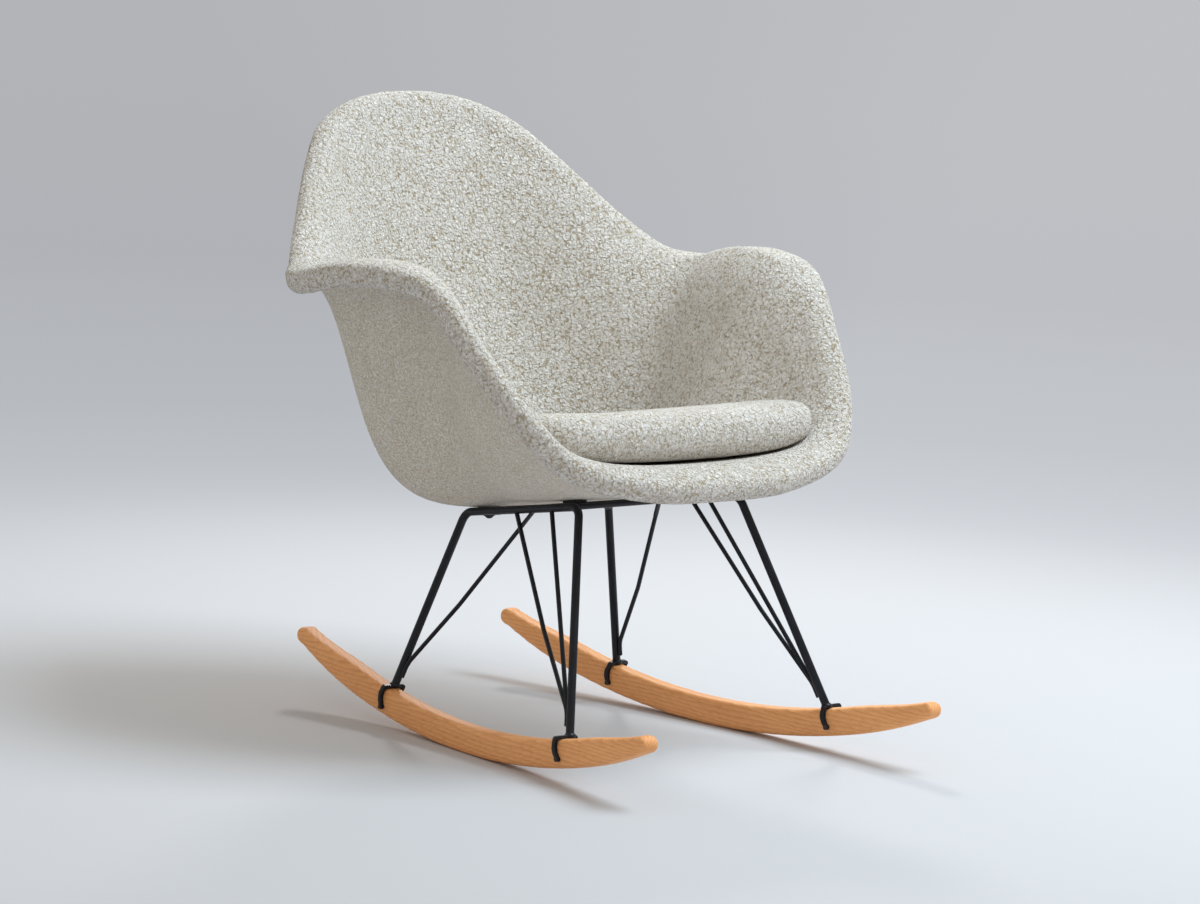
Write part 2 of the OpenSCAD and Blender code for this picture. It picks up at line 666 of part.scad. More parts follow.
// Side view of a saddle: a strip that bows to the rear and ends in a round tip
saddle_low = saddle_prong - saddle_width / 2;
function saddle_line(t) = [saddle_bow * 4 * t * (1 - t) - saddle_tip_reach * t * t, -saddle_low * t];
module saddle_side() {
    steps = 8;
    line = [for (i = [0:steps]) saddle_line(i / steps)];
    translate(line[steps])
        circle(d = saddle_width);
    polygon(concat([[-saddle_width / 2, 2 * saddle_wall]],
        [for (p = line) p - [saddle_width / 2, 0]],
        [for (i = [steps:-1:0]) line[i] + [saddle_width / 2, 0]],
        [[saddle_width / 2, 2 * saddle_wall]]));
}

// Bores for the two screws of a saddle, square to the rocker's sides
module saddle_screw_bores(d) {
    translate([0, -saddle_tip_reach, -saddle_low])
        rotate([0, 90, 0])
            cylinder(d = d, h = rocker_width * 3, center = true);
}

module saddle_screws() {
    color("gray")
        for (side = [left, right], turn = [-front_foot, rear_foot])
            at_foot(side, turn)
                for (s = [left, right])
                    translate([s * (rocker_width / 2 + saddle_gap + saddle_wall),
                        -saddle_tip_reach, -saddle_low])
                        rotate([0, s * 90, 0]) {
                            cylinder(d = saddle_screw * 1.7, h = saddle_screw * 0.4);
                            translate([0, 0, -saddle_wall - rocker_width * 0.35])
                                cylinder(d = saddle_screw, h = saddle_wall + rocker_width * 0.35);
                        }
}

// Side view of a rocker: an even bar bent to an arc, thinner towards round ends
rocker_mid = rocker_radius - rocker_end_rise - rocker_tip;
tip_turn = asin(rocker_reach / rocker_mid);
taper_turn = tip_turn - rocker_taper / rocker_radius * 180 / PI;
function taper(turn) = max(0, (abs(turn) - taper_turn) / (tip_turn - taper_turn));
function rocker_low(turn) = let(t = taper(turn)) rocker_radius - rocker_end_rise * t * t;
function rocker_depth(turn) = let(t = taper(turn))
    mix(rocker_height, 2 * rocker_tip, t * t * (2 - t));
module rocker_side() {
    steps = 80;
    low = [for (i = [0:steps]) let(a = mix(-tip_turn, tip_turn, i / steps))
        rocker_low(a) * [sin(a), -cos(a)]];
    end = [for (i = [1:7]) let(a = tip_turn, b = a - 90 + i * 180 / 8)
        rocker_mid * [sin(a), -cos(a)] + rocker_tip * [cos(b), sin(b)]];
    top = [for (i = [0:steps]) let(a = mix(tip_turn, -tip_turn, i / steps))
        (rocker_low(a) - rocker_depth(a)) * [sin(a), -cos(a)]];
    start = [for (p = end) [-p[0], p[1]]];
    polygon(concat(low, end, top, [for (i = [6:-1:0]) start[i]]));
}

module rocker(side) {
    run = rocker_reach + rocker_tip;
    color("burlywood")
        translate([side * rocker_spacing / 2, 0, rocker_radius])
            rotate([0, 0, side * rocker_toe])
                difference() {
                    intersection() {
                        rotate([90, 0, 90])
                            linear_extrude(rocker_width, center = true)
                                rocker_side();
                        translate([0, 0, -rocker_radius - 1])
                            linear_extrude(rocker_radius)
                                union() {
                                    square([rocker_width, 2 * (run - rocker_width / 2)],
                                        center = true);
                                    for (e = [left, right])
                                        translate([0, e * (run - rocker_width / 2)])
                                            circle(d = rocker_width);
                                }
                    }
                    for (turn = [-front_foot, rear_foot])
                        rotate([turn, 0, 0])
                            translate([0, 0, -rocker_inner])
                                saddle_screw_bores(saddle_screw + 0.2);
                }
}

shell_core();
inner_pad();
outer_cover();
rim_roll();
seat_cushion();
side_frame(left);  // side_frame_left
side_frame(right);  // side_frame_right
cross_bar(-front_bar_reach);  // front_cross_bar
cross_bar(rear_bar_reach);  // rear_cross_bar
rear_brace(left, rear_brace_left_reach);  // rear_brace_left
rear_brace(right, rear_brace_right_reach);  // rear_brace_right
front_brace(left, outer_brace_left_reach, brace_bow);  // front_outer_brace_left
front_brace(right, outer_brace_right_reach, brace_bow);  // front_outer_brace_right
front_brace(left, inner_brace_reach, 0);  // front_inner_brace_left
front_brace(right, inner_brace_reach, 0);  // front_inner_brace_right
mount_tab(left, FRONT_MOUNT, -mount_front_reach);  // mount_tab_front_left
mount_tab(right, FRONT_MOUNT, -mount_front_reach);  // mount_tab_front_right
mount_tab(left, REAR_MOUNT, mount_rear_reach);  // mount_tab_rear_left
mount_tab(right, REAR_MOUNT, mount_rear_reach);  // mount_tab_rear_right
shock_mount(left, FRONT_MOUNT);  // shock_mount_front_left
shock_mount(right, FRONT_MOUNT);  // shock_mount_front_right
shock_mount(left, REAR_MOUNT);  // shock_mount_rear_left
shock_mount(right, REAR_MOUNT);  // shock_mount_rear_right
mount_screws();
mount_washers();
saddle(left, -front_foot);  // saddle_front_left
saddle(right, -front_foot);  // saddle_front_right
saddle(left, rear_foot);  // saddle_rear_left
saddle(right, rear_foot);  // saddle_rear_right
saddle_screws();
rocker(left);  // rocker_left
rocker(right);  // rocker_right
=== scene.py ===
"""Upholstered rocking chair: cloth, padding, finishes, floor, lamps and camera."""

from math import radians

import bpy
from mathutils import Matrix, Vector
from mathutils.bvhtree import BVHTree


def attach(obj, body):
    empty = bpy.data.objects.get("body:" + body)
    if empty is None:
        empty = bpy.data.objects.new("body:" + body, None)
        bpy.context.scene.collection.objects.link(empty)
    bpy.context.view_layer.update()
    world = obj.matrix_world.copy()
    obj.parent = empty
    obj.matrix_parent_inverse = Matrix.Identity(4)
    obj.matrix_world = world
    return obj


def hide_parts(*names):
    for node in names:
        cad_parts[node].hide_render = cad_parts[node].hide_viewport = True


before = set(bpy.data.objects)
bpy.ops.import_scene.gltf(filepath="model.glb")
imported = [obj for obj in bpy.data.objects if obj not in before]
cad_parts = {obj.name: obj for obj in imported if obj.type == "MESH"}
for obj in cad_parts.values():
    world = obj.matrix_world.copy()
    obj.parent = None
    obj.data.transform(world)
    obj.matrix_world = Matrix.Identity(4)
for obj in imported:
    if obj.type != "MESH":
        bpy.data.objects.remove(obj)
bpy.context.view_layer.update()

# Lengths are in metres and turns in degrees. Only the lens and its sensor are in millimetres.
CAMERA_PLACE = (-3.8824, -4.2264, 1.141)
CAMERA_TURN = -42.47
CAMERA_TILT = 8.05
CAMERA_ROLL = 3.45
CAMERA_LENS = 153.28
CAMERA_SENSOR = 36

# CAD shapes: how near loose corners merge, which triangles pair up, and which edges stay crisp.
MERGE_REACH = 0.00003
PAIR_TURN = 50
PAIR_SKEW = 70
SHARP_EDGE = 48
ROUNDING_STEPS = 4

# Cloth on the shell: how fine each skin is, and how far the cloth stands off the solids.
PAD_VOXEL = 0.0044
COVER_VOXEL = 0.0044
PILE = 0.0012

# The rolled edge: its thicker pile, how far that fades out, and its fuller outer shoulder,
# which lies where the skin's normal rises by the lean, more or less the spread.
ROLL_PILE = 0.0028
ROLL_FADE = 0.014
ROLL_SHOULDER = 0.0035
SHOULDER_LEAN = 0.5
SHOULDER_SPREAD = 0.45

# Where the cover lies over it, the padding's skin steps back under the cloth.
CLOTH_STEP = 0.0008
SEAM_FADE = 0.004

# The cloth's tone: how much the gaps darken it, partly by the yarn's own tan and partly as
# painted shade, and the yarn and its clumps lighten it.
TONE_START = 0.12
GAP_SHADE = 0.75
YARN_LIGHT = 1.15
CLUMP_LIGHT = 0.22

# How deep the fine relief of the hard finishes is.
FINE_RELIEF = 0.0002

# The loose cushion: its skin, its pile and how far it swells.
CUSHION_VOXEL = 0.0055
CUSHION_PILE = 0.0018
CUSHION_SWELL = 0.0028
SWELL_FRAMES = 20

# How the cushion settles: the gap it leaves, how deep it looks for the bed, how far it sinks
# at most, and from which slope of its surface on.
SETTLE_GAP = 0.0052
SETTLE_REACH = 0.03
SETTLE_MOST = 0.005
SETTLE_SLOPE = 0.35
SETTLE_FADE = 0.8

# The rockers: their splay, their sanded skin, and the reach and height of each round nose.
ROCKER_TURN = -5.25
WOOD_VOXEL = 0.0019
WOOD_SANDING = 45
WOOD_REGAIN = 0.0004
FRONT_NOSE = (0.3240, 0.0722)
REAR_NOSE = (0.3300, 0.0742)
NOSE_RADIUS = 0.0098
NOSE_WIDTH = 0.0221
NOSE_OVERLAP = 0.002

# The saddles: their skin, the bead of weld, and where the feet of a right-hand frame stand.
SADDLE_VOXEL = 0.0006
WELD_SIZE = (0.0064, 0.0064, 0.0042)
FRONT_FOOT = (0.1965, -0.1790, 0.0530)
REAR_FOOT = (0.1713, 0.1503, 0.0480)

# The floor and its backdrop: the paint, the shift that brings the pale middle to the chair,
# how far out the last tone lies, and the tones from the middle outwards, which are painted
# light: pale in the middle and darker outwards.
FLOOR_PAINT = (0.595, 0.595, 0.62, 1)
PALE_SHIFT = (-0.15, 0.14, 0.0)
TONES_REACH = 10.0
BACKDROP_TONES = ((0.0, (0.77, 0.80, 0.85)), (0.10, (0.72, 0.75, 0.80)),
                  (0.18, (0.59, 0.62, 0.66)), (0.28, (0.52, 0.54, 0.57)),
                  (0.5, (0.48, 0.49, 0.52)), (1.0, (0.49, 0.50, 0.52)))
FADE_START = 0.7
FADE_END = 2.2

# The backdrop's painted light grows a little brighter from the left to the right of the chair's
# front.
RIGHTWARDS = (0.737, -0.675, 0.0)
GLOW_SPREAD = 0.12
GLOW_LEFT = 0.91
GLOW_RIGHT = 1.06


def place_camera():
    """The camera at the photograph's viewing angle."""
    data = bpy.data.cameras.new("camera")
    data.sensor_width = CAMERA_SENSOR
    data.lens = CAMERA_LENS
    camera = bpy.data.objects.new("camera", data)
    bpy.context.collection.objects.link(camera)
    turned = (Matrix.Rotation(radians(CAMERA_TURN), 4, "Z")
              @ Matrix.Rotation(radians(90 - CAMERA_TILT), 4, "X")
              @ Matrix.Rotation(radians(CAMERA_ROLL), 4, "Z"))
    camera.matrix_world = Matrix.Translation(CAMERA_PLACE) @ turned
    bpy.context.scene.camera = camera


def select_only(obj):
    """Leave one object selected and active."""
    bpy.ops.object.select_all(action="DESELECT")
    obj.select_set(True)
    bpy.context.view_layer.objects.active = obj


def edit_all(piece):
    """Enter edit mode on one piece with all of its mesh selected."""
    select_only(piece)
    bpy.ops.object.mode_set(mode="EDIT")
    bpy.ops.mesh.select_all(action="SELECT")


def join_to(piece):
    """Join the selected objects to a piece."""
    piece.select_set(True)
    bpy.context.view_layer.objects.active = piece
    bpy.ops.object.join()


def apply_modifier(obj, kind, **settings):
    """Add a modifier with its settings and apply it."""
    select_only(obj)
    modifier = obj.modifiers.new(kind.title(), kind)
    for key, value in settings.items():
        setattr(modifier, key, value)
    bpy.ops.object.modifier_apply(modifier=modifier.name)


def soften(piece, rounds):
    """Even out a piece's skin."""
    apply_modifier(piece, "SMOOTH", factor=0.5, iterations=rounds)


def new_skin(piece, voxel, rounds):
    """Give a piece one closed, even skin, and soften it."""
    apply_modifier(piece, "REMESH", mode="VOXEL", voxel_size=voxel)
    soften(piece, rounds)


def copy_nodes(name, *nodes):
    """Join copies of CAD nodes into one new piece, with loose corners merged."""
    bpy.ops.object.select_all(action="DESELECT")
    copies = []
    for node in nodes:
        copy = bpy.data.objects[node].copy()
        copy.data = copy.data.copy()
        copy.parent = None
        bpy.context.collection.objects.link(copy)
        copy.select_set(True)
        copies.append(copy)
    piece = copies[0]
    if len(copies) > 1:
        join_to(piece)
    piece.name = name
    piece.data.name = name
    piece.data.materials.clear()
    edit_all(piece)
    bpy.ops.mesh.remove_doubles(threshold=MERGE_REACH)
    bpy.ops.object.mode_set(mode="OBJECT")
    return piece


def round_off(piece):
    """Turn flat facets into a smooth surface that still passes through their corners."""
    edit_all(piece)
    bpy.ops.mesh.tris_convert_to_quads(face_threshold=radians(PAIR_TURN),
                                       shape_threshold=radians(PAIR_SKEW))
    bpy.ops.mesh.select_mode(type="EDGE")
    bpy.ops.mesh.select_all(action="DESELECT")
    bpy.ops.mesh.edges_select_sharp(sharpness=radians(SHARP_EDGE))
    bpy.ops.transform.edge_crease(value=1.0)
    bpy.ops.mesh.select_mode(type="VERT")
    bpy.ops.object.mode_set(mode="OBJECT")
    corners = [vertex.co.copy() for vertex in piece.data.vertices]
    smooth = piece.modifiers.new("Round", "SUBSURF")
    smooth.levels = 2
    smooth.render_levels = 2
    for _ in range(ROUNDING_STEPS):
        view = bpy.context.evaluated_depsgraph_get()
        reached = piece.evaluated_get(view).data.vertices
        moves = [corner - reached[k].co for k, corner in enumerate(corners)]
        for vertex, move in zip(piece.data.vertices, moves):
            vertex.co = vertex.co + move
        piece.data.update()
    bpy.ops.object.modifier_apply(modifier=smooth.name)


def surface_of(name):
    """A search tree over an object's faces."""
    mesh = bpy.data.objects[name].data
    return BVHTree.FromPolygons([vertex.co for vertex in mesh.vertices],
                                [face.vertices for face in mesh.polygons])


def push(piece, moves):
    """Move each point along its normal by its own distance."""
    normals = [vertex.normal.copy() for vertex in piece.data.vertices]
    for vertex, normal, move in zip(piece.data.vertices, normals, moves):
        vertex.co = vertex.co + normal * move


def thicken(piece, distance):
    """Move every point outwards by the same distance."""
    push(piece, [distance] * len(piece.data.vertices))


def within(value, most):
    """A value held between nothing and the most that it may be."""
    return min(most, max(0, value))


def new_material(name):
    """A material, its node tree, its principled shader and its Object coordinates."""
    material = bpy.data.materials.new(name)
    material.use_nodes = True
    tree = material.node_tree
    place = add_node(tree, "ShaderNodeTexCoord").outputs["Object"]
    return material, tree, tree.nodes["Principled BSDF"], place


def add_node(tree, kind, links=None, **settings):
    """Add a shader node with its settings, and link its inputs by name or number."""
    node = tree.nodes.new(kind)
    for key, value in settings.items():
        if key in node.inputs:
            node.inputs[key].default_value = value
        else:
            setattr(node, key, value)
    for key, socket in (links or {}).items():
        tree.links.new(socket, node.inputs[key])
    return node


def ramp(tree, factor, stops):
    """A colour ramp over a factor, from pairs of place and colour."""
    node = add_node(tree, "ShaderNodeValToRGB", {"Fac": factor})
    elements = node.color_ramp.elements
    while len(elements) < len(stops):
        elements.new(0.5)
    for element, (place, colour) in zip(elements, stops):
        element.position = place
        element.color = (*colour, 1)
    return node.outputs["Color"]


def noise(tree, place, scale, detail=2.0, roughness=0.5, output="Fac"):
    """A noise pattern at a place."""
    node = add_node(tree, "ShaderNodeTexNoise", {"Vector": place}, Scale=scale,
                    Detail=detail, Roughness=roughness)
    return node.outputs[output]


def laid_out(tree, place, **settings):
    """A place that is moved, turned or stretched."""
    return add_node(tree, "ShaderNodeMapping", {"Vector": place}, **settings).outputs["Vector"]


def wander(tree, place, pattern, reach):
    """Shift a place by a pattern's colour times a reach."""
    shift = add_node(tree, "ShaderNodeVectorMath", {0: pattern}, operation="SCALE", Scale=reach)
    moved = add_node(tree, "ShaderNodeVectorMath", {0: place, 1: shift.outputs["Vector"]})
    return moved.outputs["Vector"]


def math_node(tree, operation, first, second, third=None):
    """A maths node whose inputs are sockets or plain numbers."""
    node = add_node(tree, "ShaderNodeMath", operation=operation)
    for place, value in enumerate((first, second, third)):
        if isinstance(value, (int, float)):
            node.inputs[place].default_value = value
        elif value is not None:
            tree.links.new(value, node.inputs[place])
    return node.outputs["Value"]


def spread_over(tree, value, start, end, low, high, **settings):
    """Carry a value's span from start to end over to the span from low to high."""
    node = add_node(tree, "ShaderNodeMapRange", {"Value": value}, **settings)
    node.inputs["From Min"].default_value = start
    node.inputs["From Max"].default_value = end
    node.inputs["To Min"].default_value = low
    node.inputs["To Max"].default_value = high
    return node.outputs["Result"]


def multiplied(tree, colour, tint, share=1.0):
    """A colour multiplied by a tint, in full or in part."""
    mix = add_node(tree, "ShaderNodeMix", {6: colour, 7: tint}, data_type="RGBA",
                   blend_type="MULTIPLY")
    mix.inputs["Factor"].default_value = share
    return mix.outputs[2]


def relief(tree, shader, height, strength, depth=FINE_RELIEF):
    """Lay a height on a shader as relief."""
    bump = add_node(tree, "ShaderNodeBump", {"Height": height}, Strength=strength,
                    Distance=depth)
    tree.links.new(bump.outputs["Normal"], shader.inputs["Normal"])


def boucle(name, loop_light, gap_tan_and_shade, loop_size, bump_depth):
    """Looped cream cloth: small curled loops of mixed yarn with darker gaps between, partly the
    yarn's own tan and partly painted shade.
    """
    material, tree, shader, place = new_material(name)
    warp = noise(tree, place, 0.6 / loop_size, detail=1.0, output="Color")
    curled = wander(tree, place, warp, 2.2 * loop_size)
    loops = add_node(tree, "ShaderNodeTexVoronoi", {"Vector": curled}, feature="F1",
                     Scale=1 / loop_size).outputs["Distance"]
    yarn = noise(tree, curled, 1.3 / loop_size, detail=3.0, roughness=0.7)
    clumps = noise(tree, place, 0.22 / loop_size, roughness=0.6)
    patches = noise(tree, place, 25.0)
    # Painted shade: the tone darkens away from each loop's middle into the gaps between, on top
    # of the yarn's own tan there.
    tone = math_node(tree, "MULTIPLY_ADD", loops, -GAP_SHADE, TONE_START)
    tone = math_node(tree, "MULTIPLY_ADD", yarn, YARN_LIGHT, tone)
    tone = math_node(tree, "MULTIPLY_ADD", clumps, CLUMP_LIGHT, tone)
    middle = [0.62 * light + 0.38 * dark for light, dark in zip(loop_light, gap_tan_and_shade)]
    colour = ramp(tree, tone, [(0.12, gap_tan_and_shade), (0.36, middle), (0.66, loop_light)])
    tint = ramp(tree, patches, [(0.35, (0.955, 0.95, 0.935)), (0.65, (1, 1, 1))])
    tree.links.new(multiplied(tree, colour, tint), shader.inputs["Base Color"])
    height = math_node(tree, "MULTIPLY_ADD", loops, -1.0, yarn)
    relief(tree, shader, height, strength=1.0, depth=bump_depth)
    shader.inputs["Roughness"].default_value = 0.95
    shader.inputs["Specular IOR Level"].default_value = 0.15
    shader.inputs["Sheen Weight"].default_value = 0.35
    shader.inputs["Sheen Roughness"].default_value = 0.5
    return material


def powder_coat():
    """Black powder coat: satin, with a slight orange-peel skin, and a blue tint that is a
    painted reflection.
    """
    material, tree, shader, place = new_material("black_powder_coat")
    peel = noise(tree, place, 900.0)
    rub = noise(tree, place, 60.0, detail=4.0)
    # The blue in both colours is a painted reflection of bluish light; the rub noise mottles the
    # coat at random.
    colour = ramp(tree, rub, [(0.35, (0.003, 0.004, 0.008)), (0.7, (0.007, 0.009, 0.015))])
    tree.links.new(colour, shader.inputs["Base Color"])
    gloss = spread_over(tree, rub, start=0.0, end=1.0, low=0.28, high=0.42)
    tree.links.new(gloss, shader.inputs["Roughness"])
    shader.inputs["Specular IOR Level"].default_value = 0.3
    relief(tree, shader, peel, strength=0.25)
    return material


def plain_finish(name, colour, roughness, metallic=0.0, grain=400.0):
    """A moulded or plated finish with a little mottling and a fine grain."""
    material, tree, shader, place = new_material(name)
    speck = noise(tree, place, grain, detail=3.0)
    dark = [0.75 * c for c in colour]
    mottled = ramp(tree, speck, [(0.35, dark), (0.65, colour)])
    tree.links.new(mottled, shader.inputs["Base Color"])
    relief(tree, shader, speck, strength=0.3)
    shader.inputs["Roughness"].default_value = roughness
    shader.inputs["Metallic"].default_value = metallic
    return material


def oiled_wood(name, turn, heart):
    """Honey-coloured solid wood: straight fine grain along the rocker, pores and oil."""
    material, tree, shader, place = new_material(name)
    laid = laid_out(tree, place, Location=heart,
                    Rotation=(radians(-0.84 * turn), radians(40), radians(turn)))
    stretched = laid_out(tree, laid, Scale=(1, 0.12, 1))
    thin = laid_out(tree, laid, Scale=(1, 0.05, 1))
    sway = noise(tree, stretched, 24.0, roughness=0.45, output="Color")
    wavy = wander(tree, stretched, sway, 0.012)
    rings = add_node(tree, "ShaderNodeTexWave", {"Vector": wavy}, wave_type="BANDS",
                     bands_direction="Z", wave_profile="SAW", Scale=82.0, Distortion=0.8,
                     Detail=2.0).outputs["Fac"]
    pores = noise(tree, thin, 620.0)
    broad = noise(tree, stretched, 34.0)
    base = ramp(tree, rings, [(0.0, (0.98, 0.49, 0.205)), (0.5, (0.94, 0.445, 0.175)),
                              (0.88, (0.84, 0.37, 0.135)), (1.0, (0.95, 0.46, 0.18))])
    streak = ramp(tree, pores, [(0.34, (0.84, 0.78, 0.71)), (0.52, (1, 1, 1))])
    board = ramp(tree, broad, [(0.3, (0.91, 0.87, 0.83)), (0.7, (1, 1, 1))])
    grained = multiplied(tree, base, streak, share=0.7)
    tree.links.new(multiplied(tree, grained, board), shader.inputs["Base Color"])
    relief(tree, shader, pores, strength=0.25)
    shader.inputs["Roughness"].default_value = 0.55
    shader.inputs["Specular IOR Level"].default_value = 0.35
    return material


def padded_inside():
    """The padding and its rolled edge in one soft skin that wraps the shell's edge."""
    piece = copy_nodes("padded_inside", "inner_pad", "rim_roll", "shell_core", "outer_cover")
    round_off(piece)
    new_skin(piece, PAD_VOXEL, 4)
    cover = surface_of("outer_cover")
    roll = surface_of("rim_roll")
    pad = surface_of("inner_pad")
    moves = []
    for vertex in piece.data.vertices:
        place, normal = vertex.co, vertex.normal
        to_roll = roll.find_nearest(place)[3]
        to_cover = cover.find_nearest(place)[3]
        to_pad = pad.find_nearest(place)[3]
        under_cloth = within((min(to_roll, to_pad) - to_cover) / SEAM_FADE, 1)
        on_roll = 1 - min(1, to_roll / ROLL_FADE)
        shoulder = 0
        if normal.x * place.x + normal.y * place.y > 0:
            shoulder = max(0, 1 - abs(normal.z - SHOULDER_LEAN) / SHOULDER_SPREAD)
        moves.append(PILE + (ROLL_PILE + ROLL_SHOULDER * shoulder) * on_roll
                     - CLOTH_STEP * under_cloth)
    push(piece, moves)
    soften(piece, 2)
    bpy.ops.object.shade_smooth()
    return piece


def outer_cloth():
    """The cloth stretched over the outside of the shell, tucked in under the roll."""
    piece = copy_nodes("outer_cloth", "outer_cover", "shell_core")
    round_off(piece)
    new_skin(piece, COVER_VOXEL, 4)
    thicken(piece, PILE)
    bpy.ops.object.shade_smooth()
    return piece


def plump_cushion(bed):
    """The loose seat cushion, swollen by cloth simulation and settled on its bed."""
    piece = copy_nodes("plump_cushion", "seat_cushion")
    round_off(piece)
    new_skin(piece, CUSHION_VOXEL, 6)
    swell(piece)
    settle(piece, surface_of(bed.name))
    soften(piece, 3)
    apply_modifier(piece, "SUBSURF", levels=1, render_levels=1)
    thicken(piece, CUSHION_PILE)
    bpy.ops.object.shade_smooth()
    return piece


def swell(piece):
    """Blow the piece up under pressure, and hold each point near where it was."""
    rest = [vertex.co.copy() for vertex in piece.data.vertices]
    middle = sum(point.z for point in rest) / len(rest)
    select_only(piece)
    cloth = piece.modifiers.new("Cloth", "CLOTH")
    cloth.settings.quality = 6
    cloth.settings.mass = 0.3
    cloth.settings.tension_stiffness = 20
    cloth.settings.compression_stiffness = 20
    cloth.settings.bending_stiffness = 2
    cloth.settings.use_pressure = True
    cloth.settings.uniform_pressure_force = 4
    cloth.settings.effector_weights.gravity = 0
    cloth.collision_settings.use_collision = False
    for step in range(1, SWELL_FRAMES + 1):
        bpy.context.scene.frame_set(step)
    bpy.ops.object.modifier_apply(modifier=cloth.name)
    bpy.context.scene.frame_set(1)
    for vertex, start in zip(piece.data.vertices, rest):
        move = vertex.co - start
        if move.length > CUSHION_SWELL:
            move = move * (CUSHION_SWELL / move.length)
        if start.z < middle and move.z < 0:
            move = Vector((move.x, move.y, 0))
        vertex.co = start + move


def settle(piece, bed):
    """Let the underside and the lower edge sink until they nearly touch the bed."""
    down = Vector((0, 0, -1))
    drops = []
    for vertex in piece.data.vertices:
        gap = bed.ray_cast(vertex.co, down, SETTLE_REACH)[3]
        lowness = within((SETTLE_SLOPE - vertex.normal.z) / SETTLE_FADE, 1)
        drop = 0 if gap is None else within(gap - SETTLE_GAP, SETTLE_MOST)
        drops.append(drop * lowness)
    for vertex, drop in zip(piece.data.vertices, drops):
        vertex.co = vertex.co + down * drop


def rounded_rocker(name, node, turn):
    """A rocker with round noses and softened edges, from the CAD's shape."""
    piece = copy_nodes(name, node)
    along = Matrix.Rotation(radians(turn), 3, "Z") @ Vector((0, 1, 0))
    middle = sum((Vector(corner) for corner in piece.bound_box), Vector()) / 8
    for end, reach, height in ((-1, *FRONT_NOSE), (1, *REAR_NOSE)):
        nose = middle + along * (end * reach)
        nose.z = height
        edit_all(piece)
        bpy.ops.mesh.bisect(plane_co=nose - along * (end * NOSE_OVERLAP), plane_no=along * end,
                            use_fill=True, clear_outer=True)
        bpy.ops.object.mode_set(mode="OBJECT")
        bpy.ops.mesh.primitive_cylinder_add(vertices=48, radius=NOSE_RADIUS, depth=NOSE_WIDTH,
                                            location=nose,
                                            rotation=(0, radians(90), radians(turn)))
        join_to(piece)
    new_skin(piece, WOOD_VOXEL, WOOD_SANDING)
    thicken(piece, WOOD_REGAIN)
    bpy.ops.object.shade_smooth()
    return piece


def welded_saddle(name, node, rod_foot):
    """A saddle with softened bends and a small bead of weld at the rod's foot."""
    piece = copy_nodes(name, node)
    bpy.ops.mesh.primitive_uv_sphere_add(segments=24, ring_count=12, radius=1,
                                         location=rod_foot, scale=WELD_SIZE)
    bpy.ops.object.transform_apply(location=True, rotation=True, scale=True)
    join_to(piece)
    new_skin(piece, SADDLE_VOXEL, 8)
    bpy.ops.object.shade_smooth()
    return piece


def finish_node(obj, material):
    """Give a piece or a CAD node its material."""
    obj.data.materials.clear()
    obj.data.materials.append(material)


def dress(piece, material, slot, body, *nodes):
    """Give a piece its finish and its body, and hide the CAD nodes that it stands for."""
    finish_node(piece, material)
    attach(piece, body)
    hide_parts(*nodes)


def studio_floor():
    """A floor that is pale near the chair, and that camera and gloss see as a grey backdrop
    whose painted light is paler in the middle and brighter to the right.
    """
    bpy.ops.object.select_all(action="DESELECT")
    bpy.ops.mesh.primitive_circle_add(vertices=96, radius=40, fill_type="NGON")
    floor = bpy.context.object
    floor.name = "studio_floor"
    material, tree, shader, place = new_material("studio_floor_paint")
    shader.inputs["Base Color"].default_value = FLOOR_PAINT
    shader.inputs["Roughness"].default_value = 0.9
    shader.inputs["Specular IOR Level"].default_value = 0.1
    moved = laid_out(tree, place, Location=PALE_SHIFT)
    off = add_node(tree, "ShaderNodeVectorMath", {0: moved}, operation="LENGTH").outputs["Value"]
    outwards = math_node(tree, "DIVIDE", off, TONES_REACH)
    # Painted light: the backdrop's tones are pale in the middle and grey outwards.
    backdrop = add_node(tree, "ShaderNodeEmission",
                        {"Color": ramp(tree, outwards, BACKDROP_TONES)})
    to_right = add_node(tree, "ShaderNodeVectorMath", {0: place}, operation="DOT_PRODUCT")
    to_right.inputs[1].default_value = RIGHTWARDS
    lean = math_node(tree, "DIVIDE", to_right.outputs["Value"], off)
    # Painted light: the backdrop glows brighter towards the right.
    glow = spread_over(tree, lean, -GLOW_SPREAD, GLOW_SPREAD, GLOW_LEFT, GLOW_RIGHT)
    tree.links.new(glow, backdrop.inputs["Strength"])
    seen = add_node(tree, "ShaderNodeLightPath").outputs
    looked_at = math_node(tree, "MAXIMUM", seen["Is Camera Ray"], seen["Is Glossy Ray"])
    looked_at = math_node(tree, "MAXIMUM", looked_at, seen["Is Transmission Ray"])
    fade = spread_over(tree, off, FADE_START, FADE_END, 0.0, 1.0,
                       interpolation_type="SMOOTHSTEP")
    share = math_node(tree, "MULTIPLY", looked_at, fade)
    paint = add_node(tree, "ShaderNodeMixShader", {0: share, 1: shader.outputs["BSDF"],
                                                   2: backdrop.outputs["Emission"]})
    tree.links.new(paint.outputs["Shader"], tree.nodes["Material Output"].inputs["Surface"])
    floor.data.materials.append(material)


def studio_world(colour, strength):
    """Soft light from all round."""
    world = bpy.data.worlds.new("studio")
    bpy.context.scene.world = world
    world.use_nodes = True
    background = world.node_tree.nodes["Background"]
    background.inputs["Color"].default_value = (*colour, 1)
    background.inputs["Strength"].default_value = strength


def add_lamp(name, place, aim, size, power, colour):
    """A square soft lamp that faces a point."""
    data = bpy.data.lights.new(name, "AREA")
    data.shape = "SQUARE"
    data.size = size
    data.energy = power
    data.color = colour
    lamp = bpy.data.objects.new(name, data)
    bpy.context.collection.objects.link(lamp)
    lamp.location = place
    lamp.rotation_euler = (Vector(aim) - Vector(place)).to_track_quat("-Z", "Y").to_euler()


place_camera()

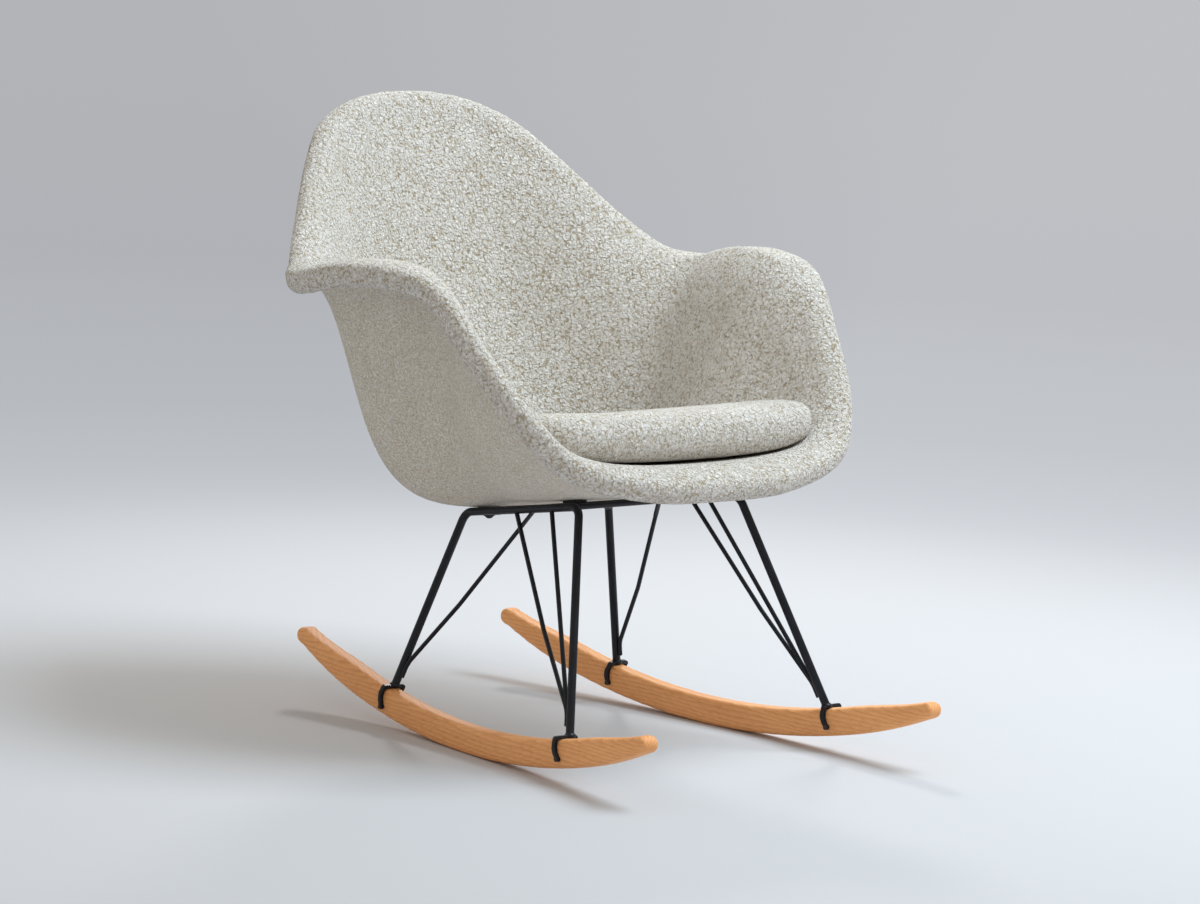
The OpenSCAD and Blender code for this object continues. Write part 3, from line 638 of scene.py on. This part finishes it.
cream = boucle("cream_boucle", loop_light=(0.99, 0.96, 0.93), gap_tan_and_shade=(0.50, 0.40, 0.27),
               loop_size=0.0034, bump_depth=0.0033)
# The outside's copy has finer loops of its own. Its warmer, flatter tones are painted shade:
# they give the look of this cloth where the outer panel lies in shade.
cream_outside_shade_tinted = boucle("cream_boucle_outside_shade_tinted", loop_light=(0.99, 0.95, 0.87),
                       gap_tan_and_shade=(0.73, 0.62, 0.46), loop_size=0.0024, bump_depth=0.0024)
coat = powder_coat()
plastic = plain_finish("grey_shell_plastic", (0.32, 0.32, 0.33), roughness=0.4, grain=120.0)
rubber = plain_finish("mount_rubber", (0.03, 0.03, 0.03), roughness=0.85)
steel = plain_finish("blackened_steel", (0.045, 0.045, 0.05), roughness=0.4, metallic=0.6)

inside = padded_inside()
dress(inside, cream, "boucle", "chair", "inner_pad", "rim_roll")
outside = outer_cloth()
dress(outside, cream_outside_shade_tinted, "boucle", "chair", "outer_cover")
cushion = plump_cushion(inside)
dress(cushion, cream, "boucle", "cushion", "seat_cushion")

# Each rocker is cut from its own place in the wood, so that the grain differs.
for side, turn, heart in (("left", ROCKER_TURN, (0.30, 0.0, 0.09)),
                          ("right", -ROCKER_TURN, (-0.07, 0.4, 0.115))):
    rocker = rounded_rocker("wooden_rocker_%s" % side, "rocker_%s" % side, turn)
    wood = oiled_wood("honey_wood_%s" % side, turn, heart)
    dress(rocker, wood, "wood", "chair", "rocker_%s" % side)

for side, hand in (("left", -1), ("right", 1)):
    for end, (across, back, height) in (("front", FRONT_FOOT), ("rear", REAR_FOOT)):
        saddle = welded_saddle("welded_saddle_%s_%s" % (end, side),
                               "saddle_%s_%s" % (end, side), (hand * across, back, height))
        dress(saddle, coat, "frame_black", "chair", "saddle_%s_%s" % (end, side))

finish_node(bpy.data.objects["shell_core"], plastic)
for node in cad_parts:
    if any(word in node for word in ("frame", "bar", "brace", "tab")):
        finish_node(bpy.data.objects[node], coat)
    if "shock_mount" in node:
        finish_node(bpy.data.objects[node], rubber)
    if "screw" in node or "washer" in node:
        finish_node(bpy.data.objects[node], steel)

studio_floor()
studio_world(colour=(1.0, 0.97, 0.90), strength=0.56)
add_lamp("key_lamp", place=(1.15, -1.0, 3.0), aim=(0, 0, 0.35), size=1.8, power=98,
         colour=(0.785, 0.915, 1.0))
add_lamp("edge_lamp", place=(1.45, 1.75, 1.7), aim=(0, 0, 0.2), size=0.35, power=20,
         colour=(1.0, 0.99, 0.97))

bpy.context.scene.view_settings.view_transform = "Standard"
